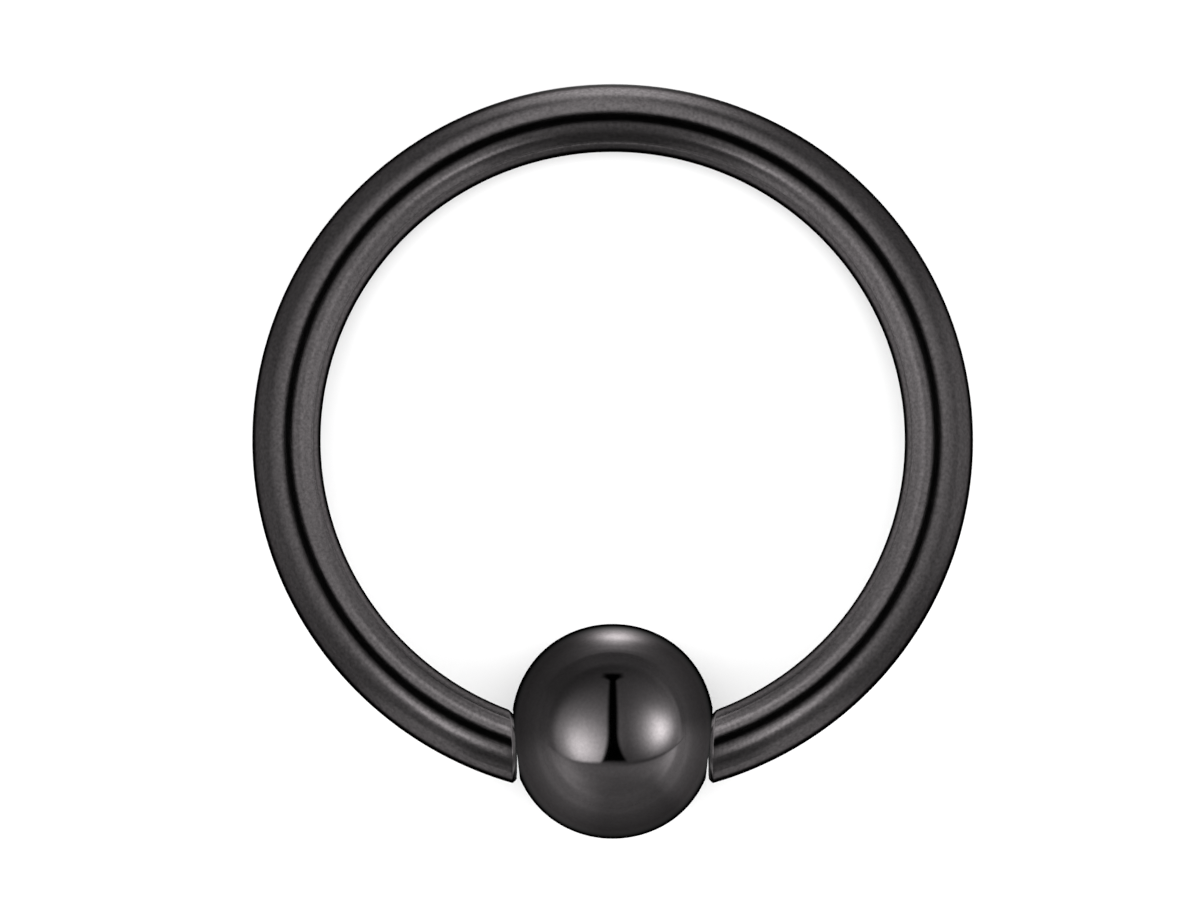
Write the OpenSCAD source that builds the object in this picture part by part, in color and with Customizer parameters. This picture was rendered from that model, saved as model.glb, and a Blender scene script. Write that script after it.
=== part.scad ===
// Captive bead ring for a piercing: an open ring of round wire whose two ends seat in the dimples of a bead.
// It is drawn as it lies on a table by itself, on the bead and on the far side of the wire.

/* [Wire] */
// Thickness of the round wire
wire_d = 1.6; // [1.2:0.1:2]
// Inside diameter of the ring
ring_inner_d = 13.7; // [11:0.1:19]
// Width of the bevel filed round each end face of the wire
tip_bevel = 0.12; // [0.06:0.01:0.2]

/* [Bead] */
// Diameter of the bead
bead_d = 5; // [4:0.1:6]
// How far each side of the bead is polished in from a full ball
side_polish = 0.15; // [0.05:0.01:0.25]
// Angle from the bead's axis at which its polished side begins
side_angle = 60; // [50:1:70]
// How far the bead's middle sits inside the line between the wire's ends
bead_inset = 0.4; // [0.2:0.05:0.6]

/* [Seat] */
// How far each end face of the wire lies below the bead's side
seat_depth = 0.11; // [0.05:0.01:0.2]
// Gap between the edge of an end face and the wall of its dimple
seat_gap = 0.05; // [0.03:0.01:0.1]
// Space behind an end face, down to the floor of its dimple
dimple_floor = 0.25; // [0.15:0.01:0.4]

/* [Hidden] */
$fn = 128;
steel_black = "#302d2f";

// The wire's circle
wire_r = wire_d / 2;
ring_r = ring_inner_d / 2 + wire_r;
inner_r = ring_inner_d / 2;
outer_r = ring_r + wire_r;

// The bead's outline: a ball trimmed by an arc of smaller radius, whose centre is set off the bead's axis
bead_r = bead_d / 2;
side_x = bead_r - side_polish;
side_arc_y = (pow(bead_r, 2) - pow(side_x, 2)) / (2 * bead_r * sin(side_angle));
side_arc_r = sqrt(pow(side_x, 2) + pow(side_arc_y, 2));

// The end faces of the wire, square to the line that joins them
side_x_at_seat = sqrt(pow(side_arc_r, 2) - pow(bead_inset - side_arc_y, 2));
face_x = side_x_at_seat - seat_depth;
face_inner_y = sqrt(pow(inner_r, 2) - pow(face_x, 2));
face_outer_y = sqrt(pow(outer_r, 2) - pow(face_x, 2));
seat_y = (face_inner_y + face_outer_y) / 2;
face_r = (face_outer_y - face_inner_y) / 2 - tip_bevel;

// The dimple: a round dish on the line between the end faces, clear of the edge of each
dish_mouth_r = face_r + seat_gap;
dish_r = (pow(dish_mouth_r, 2) + pow(dimple_floor, 2)) / (2 * dimple_floor);
dish_x = face_x - dimple_floor + dish_r;

// The pose at rest, in which the bead and the far side of the wire both touch the table
bead_y = seat_y - bead_inset;
lean = asin((bead_r - wire_r) / (ring_r + bead_y));
centre_z = wire_r + ring_r * sin(lean);
far_y = ring_r * cos(lean) + wire_r;
near_y = bead_y * cos(lean) + bead_r;
centre_y = (near_y - far_y) / 2;

// What cutters reach past the shape they cut
overcut = wire_d;
bevel_slack = tip_bevel / 2;
bevel_reach = 4 * tip_bevel;

// Lays a piece that is drawn flat, with the bead towards the front, down on the table
module at_rest() {
    translate([0, centre_y, centre_z])
        rotate([-lean, 0, 0])
            children();
}

// The open mouth of the ring between its two end faces
module mouth() {
    translate([-face_x, -outer_r - overcut, -wire_d])
        cube([2 * face_x, outer_r + overcut, 2 * wire_d]);
}

// All that lies outside a 45 degree cone round the end face on one side
module end_bevel(side) {
    translate([side * face_x, -seat_y, 0])
        rotate([0, side * 90, 0])
            rotate_extrude()
                polygon([
                    [face_r - bevel_slack, -bevel_slack],
                    [face_r + bevel_reach, -bevel_slack],
                    [face_r + bevel_reach, bevel_reach]
                ]);
}

// The bead's half outline, to be turned about its axis
module bead_outline() {
    intersection() {
        circle(r = bead_r);
        translate([side_arc_y, 0])
            circle(r = side_arc_r);
        translate([0, -bead_r])
            square(bead_d);
    }
}

module ring_wire() {
    color(steel_black)
        at_rest()
            difference() {
                rotate_extrude()
                    translate([ring_r, 0])
                        circle(r = wire_r);
                mouth();
                for (side = [-1, 1])
                    end_bevel(side);
            }
}

module bead() {
    color(steel_black)
        at_rest()
            difference() {
                translate([0, -bead_y, 0])
                    rotate([0, 90, 0])
                        rotate_extrude()
                            bead_outline();
                for (side = [-1, 1])
                    translate([side * dish_x, -seat_y, 0])
                        sphere(r = dish_r);
            }
}

ring_wire();
bead();
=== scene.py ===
import math

import bpy
from mathutils import Matrix, Vector


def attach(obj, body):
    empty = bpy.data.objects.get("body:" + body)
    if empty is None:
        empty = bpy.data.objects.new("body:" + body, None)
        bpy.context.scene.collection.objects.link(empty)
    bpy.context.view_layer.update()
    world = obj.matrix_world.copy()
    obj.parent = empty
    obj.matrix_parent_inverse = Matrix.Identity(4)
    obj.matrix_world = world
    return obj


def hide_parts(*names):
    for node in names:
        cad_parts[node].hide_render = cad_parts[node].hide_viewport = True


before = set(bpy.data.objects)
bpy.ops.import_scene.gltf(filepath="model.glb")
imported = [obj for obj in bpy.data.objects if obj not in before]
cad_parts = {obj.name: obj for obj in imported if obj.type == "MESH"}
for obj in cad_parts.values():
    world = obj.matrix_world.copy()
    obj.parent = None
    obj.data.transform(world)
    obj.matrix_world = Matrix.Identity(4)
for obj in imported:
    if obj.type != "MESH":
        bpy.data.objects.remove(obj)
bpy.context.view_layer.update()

MM = 0.001

# Driving sizes, the same as the solids' own
WIRE_D = 1.6 * MM
RING_INNER_D = 13.7 * MM
TIP_BEVEL = 0.12 * MM
BEAD_D = 5.0 * MM
SIDE_POLISH = 0.15 * MM
SIDE_ANGLE = math.radians(60)
BEAD_INSET = 0.4 * MM
SEAT_DEPTH = 0.11 * MM
SEAT_GAP = 0.05 * MM
DIMPLE_FLOOR = 0.25 * MM

# The wire's circle
WIRE_R = WIRE_D / 2
RING_R = RING_INNER_D / 2 + WIRE_R

# The bead's outline: a ball trimmed by an arc of smaller radius, whose centre is set off the bead's axis
BEAD_R = BEAD_D / 2
SIDE_X = BEAD_R - SIDE_POLISH
SIDE_ARC_Y = (BEAD_R ** 2 - SIDE_X ** 2) / (2 * BEAD_R * math.sin(SIDE_ANGLE))
SIDE_ARC_R = math.hypot(SIDE_X, SIDE_ARC_Y)

# The flat end faces of the wire
FACE_X = math.sqrt(SIDE_ARC_R ** 2 - (BEAD_INSET - SIDE_ARC_Y) ** 2) - SEAT_DEPTH
FACE_INNER_Y = math.sqrt((RING_R - WIRE_R) ** 2 - FACE_X ** 2)
FACE_OUTER_Y = math.sqrt((RING_R + WIRE_R) ** 2 - FACE_X ** 2)
SEAT_Y = (FACE_INNER_Y + FACE_OUTER_Y) / 2
FACE_R = (FACE_OUTER_Y - FACE_INNER_Y) / 2 - TIP_BEVEL

# The round dish in each side of the bead
DISH_MOUTH_R = FACE_R + SEAT_GAP
DISH_R = (DISH_MOUTH_R ** 2 + DIMPLE_FLOOR ** 2) / (2 * DIMPLE_FLOOR)
DISH_X = FACE_X - DIMPLE_FLOOR + DISH_R

# The pose at rest, on the bead and on the far side of the wire
BEAD_Y = SEAT_Y - BEAD_INSET
LEAN = math.asin((BEAD_R - WIRE_R) / (RING_R + BEAD_Y))
CENTRE_Z = WIRE_R + RING_R * math.sin(LEAN)
FAR_Y = RING_R * math.cos(LEAN) + WIRE_R
NEAR_Y = BEAD_Y * math.cos(LEAN) + BEAD_R
CENTRE_Y = (NEAR_Y - FAR_Y) / 2
AT_REST = Matrix.Translation((0, CENTRE_Y, CENTRE_Z)) @ Matrix.Rotation(-LEAN, 4, "X")
RING_CENTRE = AT_REST @ Vector((0, 0, 0))
BEAD_CENTRE = AT_REST @ Vector((0, -BEAD_Y, 0))

# How round the polishing wheel leaves an edge
TIP_EDGE = 0.035 * MM
DIMPLE_EDGE = 0.05 * MM
SIDE_EDGE = 0.03 * MM

# How far wear reaches along the wire from its end face, and the width over which it fades from the bevel
WEAR_REACH = 4 * TIP_BEVEL
WEAR_FADE = 0.5 * TIP_BEVEL

# Where an end face of the wire has rings of points, as shares of the way to its edge
FACE_RINGS = (0.25, 0.5, 0.75, 0.9)

# Where the bead has rows of points, as angles off its dish in degrees: closest at the dimple's rim
NEAR_STEP = 1.5
NEAR_ROWS = 9
RIM_START = 14.5
RIM_STEP = 0.25
RIM_ROWS = 29
FAR_START = 21.75
FAR_ROWS = 56


# Meshes

def blend_less(a, b, width):
    """The lesser of a and b, with a round change from one to the other."""
    near = max(width - abs(a - b), 0) / width
    return min(a, b) - near * near * width / 4


def round_corner(before, corner, after, size, steps):
    """Points of a round bend that takes the place of a sharp corner."""
    start = corner + (before - corner).normalized() * size
    end = corner + (after - corner).normalized() * size
    points = []
    for i in range(steps + 1):
        t = i / steps
        points.append(start * (1 - t) ** 2 + corner * 2 * t * (1 - t) + end * t ** 2)
    return points


def skin(name, rows, first_tip, last_tip):
    """A mesh over rows of points, closed round each row, with a fan of faces onto each tip."""
    count = len(rows[0])
    points = [p for row in rows for p in row]
    faces = []
    for i in range(len(rows) - 1):
        a = i * count
        b = a + count
        for j in range(count):
            k = (j + 1) % count
            faces.append((a + j, a + k, b + k, b + j))
    for tip, row in ((first_tip, 0), (last_tip, len(rows) - 1)):
        points.append(tip)
        a = row * count
        for j in range(count):
            k = (j + 1) % count
            fan = (len(points) - 1, a + k, a + j)
            faces.append(fan if row == 0 else fan[::-1])
    mesh = bpy.data.meshes.new(name)
    mesh.from_pydata([tuple(AT_REST @ p) for p in points], [], faces)
    mesh.validate()
    mesh.polygons.foreach_set("use_smooth", [True] * len(mesh.polygons))
    piece = bpy.data.objects.new(name, mesh)
    bpy.context.scene.collection.objects.link(piece)
    return piece, points


def mark(piece, name, values):
    """Stores one number at each point of a piece."""
    piece.data.attributes.new(name, "FLOAT", "POINT").data.foreach_set("value", values)


def mark_place(piece, name, places):
    """Stores one place at each point of a piece."""
    flat = [c for p in places for c in p]
    piece.data.attributes.new(name, "FLOAT_VECTOR", "POINT").data.foreach_set("vector", flat)


def wire_point(turn, round_angle):
    """A point of the wire's skin: turn goes round the ring from the bead, round_angle round the wire."""
    reach = RING_R + WIRE_R * math.cos(round_angle)
    return Vector((reach * math.sin(turn), -reach * math.cos(turn), WIRE_R * math.sin(round_angle)))


def wire_end_turn(round_angle, search=3 * TIP_BEVEL / RING_R, halvings=40):
    """The turn at which one line along the wire runs into the bevel of its end, found by halving."""
    reach = RING_R + WIRE_R * math.cos(round_angle)
    low = math.asin(FACE_X / reach)
    high = low + search
    for _ in range(halvings):
        middle = (low + high) / 2
        p = wire_point(middle, round_angle)
        outside = math.hypot(p.y + SEAT_Y, p.z) > FACE_R + p.x - FACE_X
        low, high = (middle, high) if outside else (low, middle)
    return low


def make_ring_wire(sides=96, along=330, bend_steps=4):
    """The open ring, swept along its circle, with a bevelled and softened edge at each flat end."""
    face_middle = Vector((FACE_X, -SEAT_Y, 0))
    other_middle = Vector((-FACE_X, -SEAT_Y, 0))
    lines = []
    for i in range(sides):
        round_angle = -math.pi / 2 + 2 * math.pi * i / sides
        turn = wire_end_turn(round_angle)
        shoulder = wire_point(turn, round_angle)
        bearing = math.atan2(shoulder.z, shoulder.y + SEAT_Y)
        rim = Vector((FACE_X, -SEAT_Y + FACE_R * math.cos(bearing), FACE_R * math.sin(bearing)))
        start = turn + TIP_EDGE / RING_R
        further = wire_point(start, round_angle)
        end = [face_middle + (rim - face_middle) * share for share in FACE_RINGS]
        end += round_corner(face_middle, rim, shoulder, TIP_EDGE, bend_steps)
        end += round_corner(rim, shoulder, further, TIP_EDGE, bend_steps)
        span = 2 * math.pi - 2 * start
        body = [wire_point(start + span * k / along, round_angle) for k in range(1, along)]
        other_end = [Vector((-p.x, p.y, p.z)) for p in reversed(end)]
        lines.append(end + body + other_end)
    rows = [list(row) for row in zip(*lines)]
    piece, points = skin("black_wire", rows, face_middle, other_middle)
    mark_place(piece, "polish_place", [
        (math.hypot(p.x, p.y), p.z, RING_R * math.atan2(p.x, p.y)) for p in points])
    mark(piece, "edge", [tip_edge_mark(p) for p in points])
    # Where shade is painted: the wire's flat end faces
    mark(piece, "seat", [tip_seat_mark(p) for p in points])
    return piece


def tip_seat_mark(p):
    """1 on the flat end faces of the wire, where shade is painted."""
    if p.y > 0:
        return 0.0
    return min(max(1 - (abs(p.x) - FACE_X) / TIP_EDGE, 0), 1)


def tip_edge_mark(p):
    """1 on the bevel of an end of the wire, fading to 0 along the wire."""
    if p.y > 0 or abs(p.x) > FACE_X + WEAR_REACH:
        return 0.0
    off_face = abs(p.x) - FACE_X
    from_line = math.hypot(p.y + SEAT_Y, p.z)
    inside_cone = FACE_R + off_face - from_line
    on_face = max(0.0, FACE_R - from_line)
    return math.exp(-(abs(inside_cone) + on_face) / WEAR_FADE)


def bead_reach(toward):
    """The reach of the bead's skin from its centre in one direction, how much it is rim, and how much shade
    is painted on it in the dish.
    """
    axial = abs(toward.x)
    radial = math.hypot(toward.y, toward.z)
    side = SIDE_ARC_Y * radial + math.sqrt(SIDE_ARC_R ** 2 - (SIDE_ARC_Y * axial) ** 2)
    ball = blend_less(BEAD_R, side, SIDE_EDGE)
    dish = Vector((math.copysign(DISH_X, toward.x), -BEAD_INSET, 0))
    along = dish.dot(toward)
    short = along * along - dish.length_squared + DISH_R ** 2
    if along < 0 or short <= 0:
        return ball, 0.0, 0.0
    hollow = along - math.sqrt(short)
    rim = math.exp(-abs(hollow - ball) / DIMPLE_EDGE)
    # Painted shade fills the dish inside its rim
    seat = min(max((ball - hollow) / DIMPLE_EDGE, 0), 1)
    return blend_less(ball, hollow, DIMPLE_EDGE), rim, seat


def bead_bearings():
    """The angles off the dish, up to the bead's middle, at which its skin has a row of points."""
    near = [NEAR_STEP * i for i in range(1, NEAR_ROWS + 1)]
    rim = [RIM_START + RIM_STEP * i for i in range(RIM_ROWS)]
    far = [FAR_START + (90 - FAR_START) * i / FAR_ROWS for i in range(1, FAR_ROWS + 1)]
    return [math.radians(angle) for angle in near + rim + far]


def make_bead(sides=160, hold=math.radians(30)):
    """The bead with its two dimples: one half is laid out from its dish, and the other mirrors it.

    Up to hold, its rows of points run round the dish. From there they turn, to run round the bead.
    """
    dish_bearing = math.atan2(BEAD_INSET, DISH_X)
    up = Vector((0, 0, 1))
    half = []
    for bearing in bead_bearings():
        share = min(max((bearing - hold) / (math.pi / 2 - hold), 0), 1)
        tilt = dish_bearing * (1 - share * share * (3 - 2 * share))
        axis = Vector((math.cos(tilt), -math.sin(tilt), 0))
        side = Vector((math.sin(tilt), math.cos(tilt), 0))
        row = []
        for i in range(sides):
            turn = 2 * math.pi * i / sides
            round_it = side * math.cos(turn) + up * math.sin(turn)
            row.append(axis * math.cos(bearing) + round_it * math.sin(bearing))
        half.append(row)
    mirrored = [[Vector((-d.x, d.y, d.z)) for d in row] for row in reversed(half[:-1])]
    pole = Vector((math.cos(dish_bearing), -math.sin(dish_bearing), 0))
    other_pole = Vector((-pole.x, pole.y, 0))
    centre = Vector((0, -BEAD_Y, 0))
    rows = [[centre + d * bead_reach(d)[0] for d in row] for row in half + mirrored]
    tips = [centre + d * bead_reach(d)[0] for d in (pole, other_pole)]
    piece, points = skin("black_bead", rows, tips[0], tips[1])
    mark_place(piece, "polish_place", [p - centre for p in points])
    marks = [bead_reach((p - centre).normalized()) for p in points]
    mark(piece, "edge", [m[1] for m in marks])
    # Where shade is painted: inside the dishes
    mark(piece, "seat", [m[2] for m in marks])
    return piece


# Node helpers

def link(tree, source, target):
    """Joins an output to an input."""
    tree.links.new(source, target)


def feed(tree, socket, value):
    """Gives a socket a number, a vector or another node's output."""
    if isinstance(value, bpy.types.NodeSocket):
        link(tree, value, socket)
    else:
        socket.default_value = value


def sum_up(tree, operation, *values, clamp=False):
    """One Math node and its output."""
    node = tree.nodes.new("ShaderNodeMath")
    node.operation = operation
    node.use_clamp = clamp
    for socket, value in zip(node.inputs, values):
        feed(tree, socket, value)
    return node.outputs[0]


def new_group(name, inputs, outputs):
    """A shader node group, from rows of a name, a kind and, for an input, a value."""
    group = bpy.data.node_groups.new(name, "ShaderNodeTree")
    for title, kind, value in inputs:
        socket = group.interface.new_socket(title, in_out="INPUT", socket_type=kind)
        if value is not None:
            socket.default_value = value
    for title, kind in outputs:
        group.interface.new_socket(title, in_out="OUTPUT", socket_type=kind)
    given = group.nodes.new("NodeGroupInput")
    result = group.nodes.new("NodeGroupOutput")
    return group, given.outputs, result.inputs


def place_group(tree, group, **values):
    """Places a node group in a tree, with its own values, and returns its outputs."""
    node = tree.nodes.new("ShaderNodeGroup")
    node.node_tree = group
    for title, value in values.items():
        feed(tree, node.inputs[title], value)
    return node.outputs


FLOAT = "NodeSocketFloat"
VECTOR = "NodeSocketVector"
COLOUR = "NodeSocketColor"


# Effects that both finishes use

def make_polish_lines():
    """Fine lines that a polishing wheel leaves, drawn out along one direction of the given place."""
    group, given, result = new_group(
        "polish_lines",
        [
            ("Place", VECTOR, None),
            ("Fineness", VECTOR, (1.0, 1.0, 1.0)),
            ("Strength", FLOAT, 1.0),
        ],
        [("Lines", FLOAT)])
    scaled = group.nodes.new("ShaderNodeVectorMath")
    scaled.operation = "MULTIPLY"
    link(group, given["Place"], scaled.inputs[0])
    link(group, given["Fineness"], scaled.inputs[1])
    noise = group.nodes.new("ShaderNodeTexNoise")
    noise.inputs["Scale"].default_value = 1.0
    noise.inputs["Detail"].default_value = 4.0
    noise.inputs["Roughness"].default_value = 0.6
    link(group, scaled.outputs[0], noise.inputs["Vector"])
    centred = sum_up(group, "SUBTRACT", noise.outputs["Fac"], 0.5)
    link(group, sum_up(group, "MULTIPLY", centred, given["Strength"]), result["Lines"])
    return group


def make_coating_tone():
    """The slight clouding of a black coating: a colour that wanders a little round the given one."""
    group, given, result = new_group(
        "coating_tone",
        [
            ("Place", VECTOR, None),
            ("Colour", COLOUR, (0.05, 0.05, 0.05, 1)),
            ("Worn Colour", COLOUR, (0.1, 0.1, 0.1, 1)),
            ("Cloud Scale", FLOAT, 500.0),
            ("Cloud Depth", FLOAT, 0.1),
            ("Grain", FLOAT, 0.0),
            ("Wear", FLOAT, 0.0),
        ],
        [("Colour", COLOUR)])
    noise = group.nodes.new("ShaderNodeTexNoise")
    noise.inputs["Detail"].default_value = 3.0
    link(group, given["Place"], noise.inputs["Vector"])
    link(group, given["Cloud Scale"], noise.inputs["Scale"])
    centred = sum_up(group, "SUBTRACT", noise.outputs["Fac"], 0.5)
    drift = sum_up(group, "MULTIPLY_ADD", centred, given["Cloud Depth"], 1.0)
    drift = sum_up(group, "ADD", drift, given["Grain"])
    clouded = group.nodes.new("ShaderNodeVectorMath")
    clouded.operation = "SCALE"
    link(group, given["Colour"], clouded.inputs[0])
    link(group, drift, clouded.inputs["Scale"])
    mixed = group.nodes.new("ShaderNodeMix")
    mixed.data_type = "RGBA"
    link(group, given["Wear"], mixed.inputs["Factor"])
    link(group, clouded.outputs[0], mixed.inputs["A"])
    link(group, given["Worn Colour"], mixed.inputs["B"])
    link(group, mixed.outputs["Result"], result["Colour"])
    return group


def make_edge_wear():
    """Where handling has thinned the coating: along marked edges, but not in an even line."""
    group, given, result = new_group(
        "edge_wear",
        [
            ("Place", VECTOR, None),
            ("Edge", FLOAT, 0.0),
            ("Patch Scale", FLOAT, 2500.0),
            ("Amount", FLOAT, 0.5),
        ],
        [("Wear", FLOAT)])
    noise = group.nodes.new("ShaderNodeTexNoise")
    noise.inputs["Detail"].default_value = 3.0
    link(group, given["Place"], noise.inputs["Vector"])
    link(group, given["Patch Scale"], noise.inputs["Scale"])
    patchy = sum_up(group, "MULTIPLY", given["Edge"], noise.outputs["Fac"])
    link(group, sum_up(group, "MULTIPLY", patchy, given["Amount"], clamp=True), result["Wear"])
    return group


def make_seat_shade():
    """Painted shade for the space between an end of the wire and its dimple, where no light card is
    reflected: the steel there is made black, rough and not metallic.
    """
    group, given, result = new_group(
        "seat_shade",
        [
            ("Colour", COLOUR, (0.05, 0.05, 0.05, 1)),
            ("Roughness", FLOAT, 0.1),
            ("Seat", FLOAT, 0.0),
        ],
        [("Colour", COLOUR), ("Roughness", FLOAT), ("Metallic", FLOAT)])
    metal = sum_up(group, "SUBTRACT", 1.0, given["Seat"], clamp=True)
    shaded = group.nodes.new("ShaderNodeVectorMath")
    shaded.operation = "SCALE"
    link(group, given["Colour"], shaded.inputs[0])
    link(group, metal, shaded.inputs["Scale"])
    link(group, shaded.outputs[0], result["Colour"])
    link(group, sum_up(group, "MAXIMUM", given["Roughness"], given["Seat"]), result["Roughness"])
    link(group, metal, result["Metallic"])
    return group


POLISH_LINES = make_polish_lines()
COATING_TONE = make_coating_tone()
EDGE_WEAR = make_edge_wear()
# Painted shade for the seats between the wire's ends and the bead's dimples
PAINTED_SEAT_SHADE = make_seat_shade()


# Finishes

BLACK_STEEL = (0.0355, 0.033, 0.0338, 1)
WORN_STEEL = (0.09, 0.084, 0.086, 1)
EDGE_TINT = (0.46, 0.46, 0.46, 1)

# The satin wire and the mirror bead: the lines and the grain in their skin, and how the finish is uneven
SATIN = {
    "roughness": 0.13,
    "fineness": (18000.0, 18000.0, 1500.0),
    "line_depth": 0.001 * MM,
    "rough_swing": 0.08,
    "grain_scale": 13000.0,
    "grain_depth": 0.0008 * MM,
    "speckle": 1.5,
}
MIRROR = {
    "roughness": 0.06,
    "fineness": (9000.0, 9000.0, 9000.0),
    "line_depth": 0.0001 * MM,
    "rough_swing": 0.03,
    "grain_scale": 13000.0,
    "grain_depth": 0.0001 * MM,
    "speckle": 0.5,
}


def new_material(name):
    """A material, its node tree and its shader."""
    material = bpy.data.materials.new(name)
    material.use_nodes = True
    tree = material.node_tree
    shader = tree.nodes["Principled BSDF"]
    return material, tree, shader


def attribute(tree, name, output):
    """What is stored under one name at each point of a piece."""
    node = tree.nodes.new("ShaderNodeAttribute")
    node.attribute_name = name
    return node.outputs[output]


def bump(tree, height, depth):
    """A normal that follows fine relief of the height that is given."""
    node = tree.nodes.new("ShaderNodeBump")
    node.inputs["Strength"].default_value = 1.0
    node.inputs["Distance"].default_value = depth
    link(tree, height, node.inputs["Height"])
    return node.outputs[0]


def coated_steel(name, roughness, fineness, line_depth, rough_swing, grain_scale, grain_depth, speckle):
    """Black coated steel: polish lines and a fine grain in its skin, slight clouds, thin worn edges, and
    painted shade in the seats.

    The inputs fineness and grain_scale are per metre, and the two depths are in metres.
    """
    material, tree, shader = new_material(name)
    place = attribute(tree, "polish_place", "Vector")
    edge = attribute(tree, "edge", "Fac")
    wear = place_group(tree, EDGE_WEAR, Place=place, Edge=edge)["Wear"]
    lines = place_group(tree, POLISH_LINES, Place=place, Fineness=fineness)["Lines"]
    grain = place_group(tree, POLISH_LINES, Place=place, Fineness=(grain_scale,) * 3)["Lines"]
    speckles = sum_up(tree, "MULTIPLY", grain, speckle)
    colours = {"Colour": BLACK_STEEL, "Worn Colour": WORN_STEEL}
    tone = place_group(tree, COATING_TONE, Place=place, Grain=speckles, Wear=wear, **colours)["Colour"]
    uneven = sum_up(tree, "MULTIPLY_ADD", lines, rough_swing, roughness)
    # Painted shade in the seats: the steel is made black, rough and not metallic there
    seat = attribute(tree, "seat", "Fac")
    shaded = place_group(tree, PAINTED_SEAT_SHADE, Colour=tone, Roughness=uneven, Seat=seat)
    link(tree, shaded["Colour"], shader.inputs["Base Color"])
    link(tree, shaded["Roughness"], shader.inputs["Roughness"])
    link(tree, shaded["Metallic"], shader.inputs["Metallic"])
    shader.inputs["Specular Tint"].default_value = EDGE_TINT
    height = sum_up(tree, "MULTIPLY_ADD", grain, grain_depth / line_depth, lines)
    link(tree, bump(tree, height, line_depth), shader.inputs["Normal"])
    return material


def white_paper():
    """The pale floor."""
    material, _, shader = new_material("white_paper")
    shader.inputs["Base Color"].default_value = (0.8, 0.8, 0.8, 1)
    shader.inputs["Roughness"].default_value = 1.0
    shader.inputs["Specular IOR Level"].default_value = 0.0
    return material


# Stage

def make_floor(reach=0.6, sides=96):
    """A flat pale floor."""
    turns = [2 * math.pi * j / sides for j in range(sides)]
    points = [(reach * math.cos(turn), reach * math.sin(turn), 0) for turn in turns]
    mesh = bpy.data.meshes.new("floor")
    mesh.from_pydata(points, [], [tuple(range(sides))])
    floor = bpy.data.objects.new("floor", mesh)
    bpy.context.scene.collection.objects.link(floor)
    floor.data.materials.append(white_paper())
    return floor


def soft_lamp(name, centre, facing, size, lights, pattern, radiance=1.0):
    """A flat lamp that faces one way and that the camera doesn't see.

    Its light falls only on the pieces in lights. A pattern sets how bright it is at each place on it.
    """
    data = bpy.data.lights.new(name, "AREA")
    data.shape = "RECTANGLE"
    data.size, data.size_y = size
    data.energy = math.pi * size[0] * size[1] * radiance
    lamp = bpy.data.objects.new(name, data)
    bpy.context.scene.collection.objects.link(lamp)
    lamp.location = centre
    lamp.rotation_mode = "QUATERNION"
    lamp.rotation_quaternion = Vector(facing).to_track_quat("-Z", "Y")
    lamp.visible_camera = False
    shown_on = bpy.data.collections.new(name + "_shown_on")
    for piece in lights:
        shown_on.objects.link(piece)
    lamp.light_linking.receiver_collection = shown_on
    if pattern:
        data.use_nodes = True
        tree = data.node_tree
        turned = lamp.rotation_quaternion.to_matrix()
        place = lamp_place(tree, Vector(centre), turned.col[0] * size[0], turned.col[1] * size[1])
        link(tree, pattern(tree, *place), tree.nodes["Emission"].inputs["Strength"])


def lamp_place(tree, centre, across, along):
    """The place on a lamp in millimetres, as three sockets."""
    geometry = tree.nodes.new("ShaderNodeNewGeometry")
    spread = tree.nodes.new("ShaderNodeSeparateXYZ")
    link(tree, geometry.outputs["Parametric"], spread.inputs[0])
    corner = centre - across / 2 - along / 2
    place = []
    for i in range(3):
        part = sum_up(tree, "MULTIPLY_ADD", spread.outputs[0], across[i] / MM, corner[i] / MM)
        place.append(sum_up(tree, "MULTIPLY_ADD", spread.outputs[1], along[i] / MM, part))
    return place


# Camera

CAMERA_ELEVATION = math.radians(88)
CAMERA_LENS = 200
SENSOR_WIDTH = 36
VIEW_WIDTH = 28.14 * MM
CAMERA_DISTANCE = VIEW_WIDTH * CAMERA_LENS / SENSOR_WIDTH
CAMERA_AIM = RING_CENTRE + Vector((-0.297 * MM, -0.304 * MM, 0))


def make_camera():
    """The camera, almost straight over the ring."""
    data = bpy.data.cameras.new("camera")
    data.lens = CAMERA_LENS
    data.clip_start = 1 * MM
    data.clip_end = 10
    camera = bpy.data.objects.new("camera", data)
    bpy.context.scene.collection.objects.link(camera)
    back = Vector((0, -math.cos(CAMERA_ELEVATION), math.sin(CAMERA_ELEVATION)))
    camera.location = CAMERA_AIM + back * CAMERA_DISTANCE
    camera.rotation_mode = "QUATERNION"
    camera.rotation_quaternion = (-back).to_track_quat("-Z", "Y")
    bpy.context.scene.camera = camera


# Shapes of light

# The least that anything is divided by
NOT_ZERO = 0.001


def soft_step(tree, value, low, high):
    """0 below low, 1 above high, and a smooth change between them."""
    node = tree.nodes.new("ShaderNodeMapRange")
    node.interpolation_type = "SMOOTHSTEP"
    feed(tree, node.inputs["Value"], value)
    node.inputs["From Min"].default_value = low
    node.inputs["From Max"].default_value = high
    return node.outputs["Result"]


def from_spot(tree, x, y, centre, half_size):
    """How far a point lies from a spot, in the spot's own half sizes."""
    across = sum_up(tree, "DIVIDE", sum_up(tree, "SUBTRACT", x, centre[0]), half_size[0])
    along = sum_up(tree, "DIVIDE", sum_up(tree, "SUBTRACT", y, centre[1]), half_size[1])
    squares = [sum_up(tree, "MULTIPLY", part, part) for part in (across, along)]
    return sum_up(tree, "SQRT", sum_up(tree, "ADD", *squares))


def distance(tree, x, y, centre=(0, 0)):
    """How far a point lies from a centre."""
    return from_spot(tree, x, y, centre, (1, 1))


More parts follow.
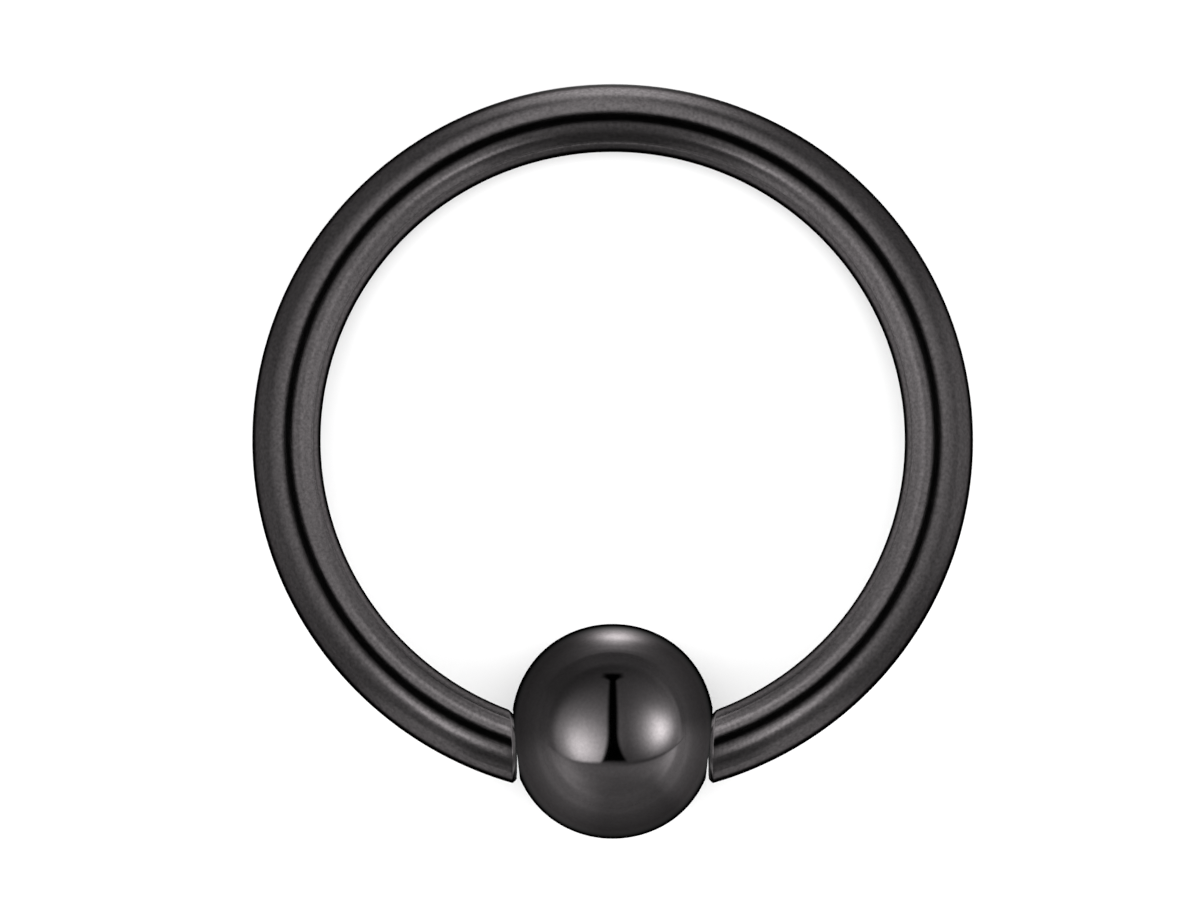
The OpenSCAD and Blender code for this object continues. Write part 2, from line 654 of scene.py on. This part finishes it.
def glows(tree, x, y, level, spots):
    """Adds soft round spots of light to a level. Each is a centre, a half size and a brightness."""
    for centre, half_size, brightness in spots:
        off = from_spot(tree, x, y, centre, half_size)
        fall = sum_up(tree, "MULTIPLY", sum_up(tree, "MULTIPLY", off, off), -1.0)
        level = sum_up(tree, "MULTIPLY_ADD", sum_up(tree, "EXPONENT", fall), brightness, level)
    return level


def around(tree, x, y, level, lobes, share=1.0):
    """The light low down round the table: a level, and a share of the lobes.

    Each lobe is the bearing that it shines from, the cosine at its edge, and a brightness.
    """
    reach = sum_up(tree, "MAXIMUM", distance(tree, x, y), NOT_ZERO)
    east = sum_up(tree, "DIVIDE", x, reach)
    north = sum_up(tree, "DIVIDE", y, reach)
    extra = 0.0
    for bearing, edge, brightness in lobes:
        toward = sum_up(tree, "MULTIPLY", east, math.cos(math.radians(bearing)))
        toward = sum_up(tree, "MULTIPLY_ADD", north, math.sin(math.radians(bearing)), toward)
        extra = sum_up(tree, "MULTIPLY_ADD", soft_step(tree, toward, edge, 1.0), brightness, extra)
    return sum_up(tree, "MULTIPLY_ADD", extra, share, level)


def over(tree, x, y, centre, height):
    """A place on a ceiling as the tangents of its angles from straight up."""
    east = sum_up(tree, "DIVIDE", sum_up(tree, "SUBTRACT", x, centre[0]), height)
    north = sum_up(tree, "DIVIDE", sum_up(tree, "SUBTRACT", y, centre[1]), height)
    return east, north, distance(tree, east, north)


def down_to_wall(tree, off, level):
    """A ceiling's light, which ends where the wall's begins."""
    return sum_up(tree, "MULTIPLY", level, soft_step(tree, off, WALL_FULL, WALL_START))


def change(tree, share, start, end):
    """A level that goes from one to another as a share goes from 0 to 1."""
    return sum_up(tree, "MULTIPLY_ADD", sum_up(tree, "SUBTRACT", end, start), share, start)


# How high the lamps are, and how far the ground reaches, in millimetres. A ceiling reaches out to
# so many times its height.
CEILING_REACH = 150.0
WIRE_CEILING_HEIGHT = 50.0
BEAD_CEILING_HEIGHT = 60.0
GROUND_REACH = 800.0
GROUND_HEIGHT = 0.05

# Where the wall of low light takes over from the ceilings, as tangents from straight up
WALL_START = 100.0
WALL_FULL = 145.0

# The sine of the small angle below the horizon at which the wall ends
WALL_BOTTOM = -0.003


# The wire's lamps

# In each list of glows, here and for the bead, a row is a centre, a half size and a brightness.
# A brightness below 0 makes a shade. In a pair for a soft step, 0 ends at the first and 1 begins
# at the second.

# The low light round the wire, with bearings in degrees
WIRE_LOW_LIGHT = 1.0
WIRE_LOBES = [
    (8, 0.86, 1.0),
    (180, 0.9, 0.3),
    (-60, 0.93, 1.4),
    (-120, 0.93, 1.4)]

# The ceiling over the wire, in tangents from straight up
WIRE_OVERHEAD = 0.9
WIRE_OVERHEAD_END = (1.0, 3.5)
WIRE_OVERHEAD_GLOWS = [
    ((0, 0.35), (1.35, 1.05), 2.2),
    ((-0.42, -0.45), (0.17, 0.2), 1.5),
    ((0.42, -0.45), (0.17, 0.2), 0.8),
    ((-0.05, 1.9), (0.36, 1.5), 2.6)]
HOLE_HALF_WIDTH = 0.41
HOLE_LEAST_WIDTH = 0.1
HOLE_NARROWING = -0.32
HOLE_CENTRE = (-0.03, 0.17)
HOLE_SIZE = (1, 0.33)
HOLE_EDGE = (0.6, 1.5)
WEDGE_HALF_WIDTH = 0.1
WEDGE_WIDENING = -0.55
WEDGE_SOFTNESS = 0.15
WEDGE_DIMMING = -0.5

# The ground round the wire, in millimetres
RAISED_FOOT = 0.45
OUTER_FOOT = (1.6, 2.9)
INNER_FOOT = (1.4, 2.4)
BEYOND_GLOWS = [((0, 11.4), (3.4, 1.4), 7.0)]
POOL_LIGHT = 3.2
POOL_GLOWS = [
    ((0, 6.2), (3.0, 4.2), -2.0),
    ((0, 1.8), (1.4, 4.0), -1.1)]

# What is drawn on the cards beside the wire, in millimetres
SIDE_CARD_FRONT = (-3.0, 2.2)
SIDE_CARD_BACK = (6.4, 4.4)
SIDE_CARD_TOP = (14.0, 10.0)
SIDE_CARD_LIGHT = 1.4
SIDE_CARD_HIGH_GLOWS = [((0, 8.8), (4.0, 2.6), 2.2)]
SIDE_CARD_LOW_GLOWS = [((-0.2, 2.5), (2.4, 3.0), 1.6)]
NEAR_CARD_GLOWS = [
    ((0, 10.4), (1.6, 2.2), 5.5),
    ((0, 5.5), (2.3, 2.4), 2.4)]
TIP_CARD_GLOWS = [((11.4, -13.0), (3.8, 5.4), 5.5)]
FAR_CARD_GLOWS = [((0, 0), (3.8, 40.0), 6.5)]
FAR_CARD_TOP = (3.6, 1.2)


def wire_ceiling(tree, x, y, z):
    """A dark hole over the ring's middle, bright round it, and dim in a wedge towards the front."""
    x, y, off = over(tree, x, y, (0, 0), WIRE_CEILING_HEIGHT)
    low_light = around(tree, x, y, WIRE_LOW_LIGHT, WIRE_LOBES)
    level = change(tree, soft_step(tree, off, *WIRE_OVERHEAD_END), WIRE_OVERHEAD, low_light)
    level = glows(tree, x, y, level, WIRE_OVERHEAD_GLOWS)
    half_width = sum_up(tree, "MULTIPLY_ADD", y, HOLE_NARROWING, HOLE_HALF_WIDTH)
    across = sum_up(tree, "DIVIDE", x, sum_up(tree, "MAXIMUM", half_width, HOLE_LEAST_WIDTH))
    hole = soft_step(tree, from_spot(tree, across, y, HOLE_CENTRE, HOLE_SIZE), *HOLE_EDGE)
    wedge = sum_up(tree, "MULTIPLY_ADD", y, WEDGE_WIDENING, WEDGE_HALF_WIDTH)
    in_wedge = sum_up(tree, "SUBTRACT", wedge, sum_up(tree, "ABSOLUTE", x))
    dim = soft_step(tree, in_wedge, -WEDGE_SOFTNESS, WEDGE_SOFTNESS)
    dim = sum_up(tree, "MULTIPLY_ADD", dim, WEDGE_DIMMING, 1.0)
    return down_to_wall(tree, off, sum_up(tree, "MULTIPLY", sum_up(tree, "MULTIPLY", level, hole), dim))


def wire_ground(tree, x, y, z):
    """Bright inside the ring but for its far side, and dark at the wire's own foot.

    The dark foot is wider towards the front, where the bead holds the wire up.
    """
    ring_y = RING_CENTRE.y / MM
    ring_r = RING_R / MM
    from_ring = sum_up(tree, "SUBTRACT", distance(tree, x, y, (0, ring_y)), ring_r)
    raised = sum_up(tree, "MULTIPLY_ADD", y, -RAISED_FOOT / ring_r, 1.0 + RAISED_FOOT)
    off_foot = sum_up(tree, "DIVIDE", from_ring, sum_up(tree, "MAXIMUM", raised, 1.0))
    low_light = around(tree, x, y, WIRE_LOW_LIGHT, WIRE_LOBES)
    outside = sum_up(tree, "MULTIPLY", low_light, soft_step(tree, off_foot, *OUTER_FOOT))
    beyond = glows(tree, x, y, outside, BEYOND_GLOWS)
    inside = soft_step(tree, sum_up(tree, "MULTIPLY", off_foot, -1.0), *INNER_FOOT)
    pool = glows(tree, x, y, POOL_LIGHT, POOL_GLOWS)
    return sum_up(tree, "MULTIPLY_ADD", inside, pool, beyond)


def wire_side_card(tree, x, y, z):
    """A card across the ring that lights the wire's inner side."""
    front = soft_step(tree, y, *SIDE_CARD_FRONT)
    ends = sum_up(tree, "MULTIPLY", front, soft_step(tree, y, *SIDE_CARD_BACK))
    top = soft_step(tree, z, *SIDE_CARD_TOP)
    level = glows(tree, y, z, SIDE_CARD_LIGHT, SIDE_CARD_HIGH_GLOWS)
    level = sum_up(tree, "MULTIPLY", sum_up(tree, "MULTIPLY", top, ends), level)
    return glows(tree, y, z, level, SIDE_CARD_LOW_GLOWS)


def wire_near_card(tree, x, y, z):
    """A card over the ring's far half that lights the inner side of the wire next to the bead."""
    return glows(tree, x, z, 0.0, NEAR_CARD_GLOWS)


def wire_tip_card(tree, x, y, z):
    """A small card over one end of the wire."""
    return glows(tree, sum_up(tree, "ABSOLUTE", x), y, 0.0, TIP_CARD_GLOWS)


def wire_far_card(tree, x, y, z):
    """A low card behind the ring that lights the outer side of its far part."""
    level = glows(tree, x, z, 0.0, FAR_CARD_GLOWS)
    return sum_up(tree, "MULTIPLY", level, soft_step(tree, z, *FAR_CARD_TOP))


# The bead's lamps

# The low light round the bead, with bearings in degrees, and the share of its lobes in three places
BEAD_LOW_LIGHT = 0.55
BEAD_LOBES = [
    (-90, -0.4, 0.8),
    (-137, 0.72, 1.4),
    (-22, 0.85, 1.9),
    (20, 0.6, 0.8),
    (90, 0.8, 0.3),
    (180, 0.8, 0.3)]
LOBES_AT_WALL = 0.8
LOBES_ADDED_OVERHEAD = 0.2
LOBES_AT_FOOT = 0.4
LOBES_ADDED_FAR_OUT = 0.4

# Where those shares change: on the ceiling in tangents from straight up, on the ground in millimetres
OVERHEAD_LOBES_END = (12.0, 1.5)
FAR_OUT = (6.0, 40.0)

# The windows over the bead, in tangents from straight up
WINDOWS_END = (2.5, 6.0)
LEFT_WINDOW_GLOWS = [
    ((-0.68, -0.35), (0.5, 0.45), 12.0),
    ((-1.15, -0.25), (1.15, 0.9), 4.2),
    ((-3.0, -0.3), (1.6, 1.1), 0.6)]
LEFT_WINDOW_EDGE = (0.3, -0.1)
TOP_SHADE = [((-0.4, 2.8), (2.4, 1.1), -0.15)]
RIGHT_WINDOW_GLOWS = [
    ((1.2, 0.02), (0.5, 0.38), 14.0),
    ((1.8, 0.1), (0.8, 0.5), 8.0),
    ((2.6, 0.3), (1.6, 1.0), 3.3),
    ((5.0, 1.2), (3.4, 2.0), 1.4)]
GAP_HALF_WIDTH = 0.05
GAP_SOFTNESS = 0.09
GAP_FLARE = 0.46
GAP_BEND = -0.08
CROSSBAR_START = (1.35, 1.75)
CROSSBAR_END = (1.8, 2.3)
CROSSBAR_HALF_WIDTH = 0.12
CROSSBAR_SOFTNESS = 0.2

# The card in front of the windows, and the dark line between them, in tangents from straight up
CARD_LIGHT = 1.2
CARD_END = (1.5, 4.0)
CARD_GLOWS = [
    ((0, -0.8), (1.5, 0.3), 0.4),
    ((-1.5, -1.3), (0.9, 0.8), 2.2),
    ((-2.6, -2.3), (1.3, 1.2), 1.2),
    ((2.2, -1.0), (1.2, 0.6), 2.4),
    ((3.6, -1.5), (1.3, 1.0), 2.0)]
LINE_Y = -0.635
LINE_BEND = -0.05
LINE_DROP = -0.1
LINE_DROP_REACH = (0.0, -1.2)
LINE_SHADE = 0.15
LINE_SHADE_ADDED = 0.45
LINE_SHADE_REACH = (-0.5, 0.8)
LINE_FADE = (0.0, -0.12)
LINE_EDGE = (-0.02, 0.1)

# The ground round the bead, in millimetres
BEAD_FOOT = (3.5, 5.5)
BEAD_GROUND_GLOWS = [
    ((0.35, 1.0), (1.5, 2.3), 19.0),
    ((0.4, 4.5), (2.2, 3.8), 6.0),
    ((0.8, 12.0), (5.0, 9.0), 2.2),
    ((0.0, 28.0), (14.0, 20.0), 1.0)]


def bead_windows(tree, x, y, base):
    """Two bright windows, with a narrow gap between them that flares at its top and its foot."""
    left = glows(tree, x, y, 0.0, LEFT_WINDOW_GLOWS)
    left = sum_up(tree, "MULTIPLY_ADD", left, soft_step(tree, x, *LEFT_WINDOW_EDGE), base)
    windows = glows(tree, x, y, left, TOP_SHADE + RIGHT_WINDOW_GLOWS)
    near = sum_up(tree, "MAXIMUM", sum_up(tree, "MULTIPLY", y, -1.0), 0.0)
    flare = sum_up(tree, "MULTIPLY", near, near)
    off_middle = sum_up(tree, "ABSOLUTE", sum_up(tree, "MULTIPLY_ADD", flare, GAP_BEND, x))
    crossbar = soft_step(tree, y, *CROSSBAR_START)
    half_gap = sum_up(tree, "MULTIPLY_ADD", flare, GAP_FLARE, GAP_HALF_WIDTH)
    half_gap = sum_up(tree, "MULTIPLY_ADD", crossbar, CROSSBAR_HALF_WIDTH, half_gap)
    softness = sum_up(tree, "MULTIPLY_ADD", crossbar, CROSSBAR_SOFTNESS, GAP_SOFTNESS)
    past_gap = sum_up(tree, "DIVIDE", sum_up(tree, "SUBTRACT", off_middle, half_gap), softness)
    open_side = soft_step(tree, past_gap, 0.0, 1.0)
    open_top = soft_step(tree, y, *CROSSBAR_END)
    return sum_up(tree, "MULTIPLY", windows, sum_up(tree, "MAXIMUM", open_side, open_top))


def bead_ceiling(tree, x, y, z):
    """The two windows, and a dimmer card in front of them, with a thin dark line where they meet."""
    x, y, off = over(tree, x, y, BEAD_CENTRE / MM, BEAD_CEILING_HEIGHT)
    share = soft_step(tree, off, *OVERHEAD_LOBES_END)
    share = sum_up(tree, "MULTIPLY_ADD", share, LOBES_ADDED_OVERHEAD, LOBES_AT_WALL)
    far = around(tree, x, y, BEAD_LOW_LIGHT, BEAD_LOBES, share)
    base = change(tree, soft_step(tree, off, *WINDOWS_END), BEAD_LOW_LIGHT, far)
    windows = bead_windows(tree, x, y, base)
    card = change(tree, soft_step(tree, off, *CARD_END), CARD_LIGHT, far)
    card = glows(tree, x, y, card, CARD_GLOWS)
    line = sum_up(tree, "MULTIPLY_ADD", sum_up(tree, "ABSOLUTE", x), LINE_BEND, LINE_Y)
    line = sum_up(tree, "MULTIPLY_ADD", soft_step(tree, x, *LINE_DROP_REACH), LINE_DROP, line)
    above = sum_up(tree, "SUBTRACT", y, line)
    shade = soft_step(tree, x, *LINE_SHADE_REACH)
    shade = sum_up(tree, "MULTIPLY_ADD", shade, LINE_SHADE_ADDED, LINE_SHADE)
    step_down = soft_step(tree, above, *LINE_FADE)
    lit = change(tree, step_down, sum_up(tree, "SUBTRACT", 1.0, shade), 1.0)
    card = sum_up(tree, "MULTIPLY", card, lit)
    level = change(tree, soft_step(tree, above, *LINE_EDGE), card, windows)
    return down_to_wall(tree, off, level)


def bead_ground(tree, x, y, z):
    """Bright inside the ring, and dark at the bead's own foot."""
    foot_y = BEAD_CENTRE.y / MM
    off_foot = distance(tree, x, y, (0, foot_y))
    share = soft_step(tree, off_foot, *FAR_OUT)
    share = sum_up(tree, "MULTIPLY_ADD", share, LOBES_ADDED_FAR_OUT, LOBES_AT_FOOT)
    from_foot = sum_up(tree, "SUBTRACT", y, foot_y)
    level = around(tree, x, from_foot, BEAD_LOW_LIGHT, BEAD_LOBES, share)
    level = glows(tree, x, y, level, BEAD_GROUND_GLOWS)
    return sum_up(tree, "MULTIPLY", level, soft_step(tree, off_foot, *BEAD_FOOT))


# Places and sizes of the lamps

UP = (0, 0, 1)
DOWN = (0, 0, -1)
TO_THE_FRONT = (0, -1, 0)
FLOOR_LAMP_PLACE = (0, 0, 0.3)
FLOOR_LAMP_SIZE = (1.2, 1.2)
FLOOR_LAMP_RADIANCE = 2.6
GROUND_PLACE = (0, 0, GROUND_HEIGHT * MM)
GROUND_SIZE = (2 * GROUND_REACH * MM,) * 2
WIRE_CEILING_PLACE = (0, 0, WIRE_CEILING_HEIGHT * MM)
WIRE_CEILING_SIZE = (2 * CEILING_REACH * WIRE_CEILING_HEIGHT * MM,) * 2
BEAD_CEILING_PLACE = (0, BEAD_CENTRE.y, BEAD_CEILING_HEIGHT * MM)
BEAD_CEILING_SIZE = (2 * CEILING_REACH * BEAD_CEILING_HEIGHT * MM,) * 2
SIDE_CARD_X = 3 * MM
SIDE_CARD_Z = 9 * MM
SIDE_CARD_SIZE = (18 * MM, 18 * MM)
# A side, and how bright its card is
SIDE_CARD_RADIANCES = ((-1, 1.1), (1, 0.8))
TIP_CARD_X = 12 * MM
TIP_CARD_Y = -14 * MM
TIP_CARD_Z = 25 * MM
TIP_CARD_SIZE = (20 * MM, 26 * MM)
NEAR_CARD_PLACE = (0, 5 * MM, 8.5 * MM)
NEAR_CARD_SIZE = (6 * MM, 14 * MM)
FAR_CARD_PLACE = (0, 12.6 * MM, 1.8 * MM)
FAR_CARD_SIZE = (20 * MM, 3.6 * MM)


def light_floor(floor):
    """The one lamp that lights the floor."""
    soft_lamp("floor_lamp", FLOOR_LAMP_PLACE, DOWN, FLOOR_LAMP_SIZE, [floor], None, FLOOR_LAMP_RADIANCE)


def light_wire(wire):
    """The lamps that only the wire reflects."""
    soft_lamp("wire_ceiling", WIRE_CEILING_PLACE, DOWN, WIRE_CEILING_SIZE, [wire], wire_ceiling)
    soft_lamp("wire_ground", GROUND_PLACE, UP, GROUND_SIZE, [wire], wire_ground)
    for side, radiance in SIDE_CARD_RADIANCES:
        beside = (side * SIDE_CARD_X, 0, SIDE_CARD_Z)
        inward = (-side, 0, 0)
        soft_lamp("wire_side_card", beside, inward, SIDE_CARD_SIZE, [wire], wire_side_card, radiance)
        over_tip = (side * TIP_CARD_X, TIP_CARD_Y, TIP_CARD_Z)
        soft_lamp("wire_tip_card", over_tip, DOWN, TIP_CARD_SIZE, [wire], wire_tip_card)
    soft_lamp("wire_near_card", NEAR_CARD_PLACE, TO_THE_FRONT, NEAR_CARD_SIZE, [wire], wire_near_card)
    soft_lamp("wire_far_card", FAR_CARD_PLACE, TO_THE_FRONT, FAR_CARD_SIZE, [wire], wire_far_card)


def light_bead(bead):
    """The lamps that only the bead reflects."""
    soft_lamp("bead_ceiling", BEAD_CEILING_PLACE, DOWN, BEAD_CEILING_SIZE, [bead], bead_ceiling)
    soft_lamp("bead_ground", GROUND_PLACE, UP, GROUND_SIZE, [bead], bead_ground)


# The whole scene

def build():
    """The ring on its floor, with the camera and the lamps."""
    make_camera()
    floor = make_floor()
    wire = make_ring_wire()
    wire.data.materials.append(coated_steel("satin_black_steel", **SATIN))
    bead = make_bead()
    bead.data.materials.append(coated_steel("mirror_black_steel", **MIRROR))
    pieces = [
        (wire, "ring_wire", "ring", "wire_steel"),
        (bead, "bead", "bead", "bead_steel")]
    for piece, node, body, slot in pieces:
        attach(piece, body)
        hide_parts(node)
    # The images of the floor and of the pieces would hide the light cards in the polished steel
    for piece in (floor, wire, bead):
        piece.visible_glossy = False
    light_floor(floor)
    light_wire(wire)
    light_bead(bead)


def make_room():
    """What surrounds the stage: white to the camera, and a wall of low light in what the metal reflects."""
    world = bpy.data.worlds.new("room")
    world.use_nodes = True
    tree = world.node_tree
    background = tree.nodes["Background"]
    coordinates = tree.nodes.new("ShaderNodeTexCoord")
    direction = tree.nodes.new("ShaderNodeSeparateXYZ")
    link(tree, coordinates.outputs["Generated"], direction.inputs[0])
    x, y, z = direction.outputs
    across = sum_up(tree, "SQRT", sum_up(tree, "SUBTRACT", 1.0, sum_up(tree, "MULTIPLY", z, z)))
    steep = sum_up(tree, "DIVIDE", across, sum_up(tree, "MAXIMUM", z, NOT_ZERO))
    above_bottom = sum_up(tree, "GREATER_THAN", z, WALL_BOTTOM)
    low = sum_up(tree, "MULTIPLY", soft_step(tree, steep, WALL_START, WALL_FULL), above_bottom)
    low_light = around(tree, x, y, BEAD_LOW_LIGHT, BEAD_LOBES, LOBES_AT_WALL)
    wall = sum_up(tree, "MULTIPLY", low, low_light)
    seen = tree.nodes.new("ShaderNodeLightPath").outputs["Is Camera Ray"]
    link(tree, sum_up(tree, "MAXIMUM", wall, seen), background.inputs["Strength"])
    background.inputs["Color"].default_value = (1, 1, 1, 1)
    bpy.context.scene.world = world


make_room()
bpy.context.scene.view_settings.view_transform = "Standard"

build()
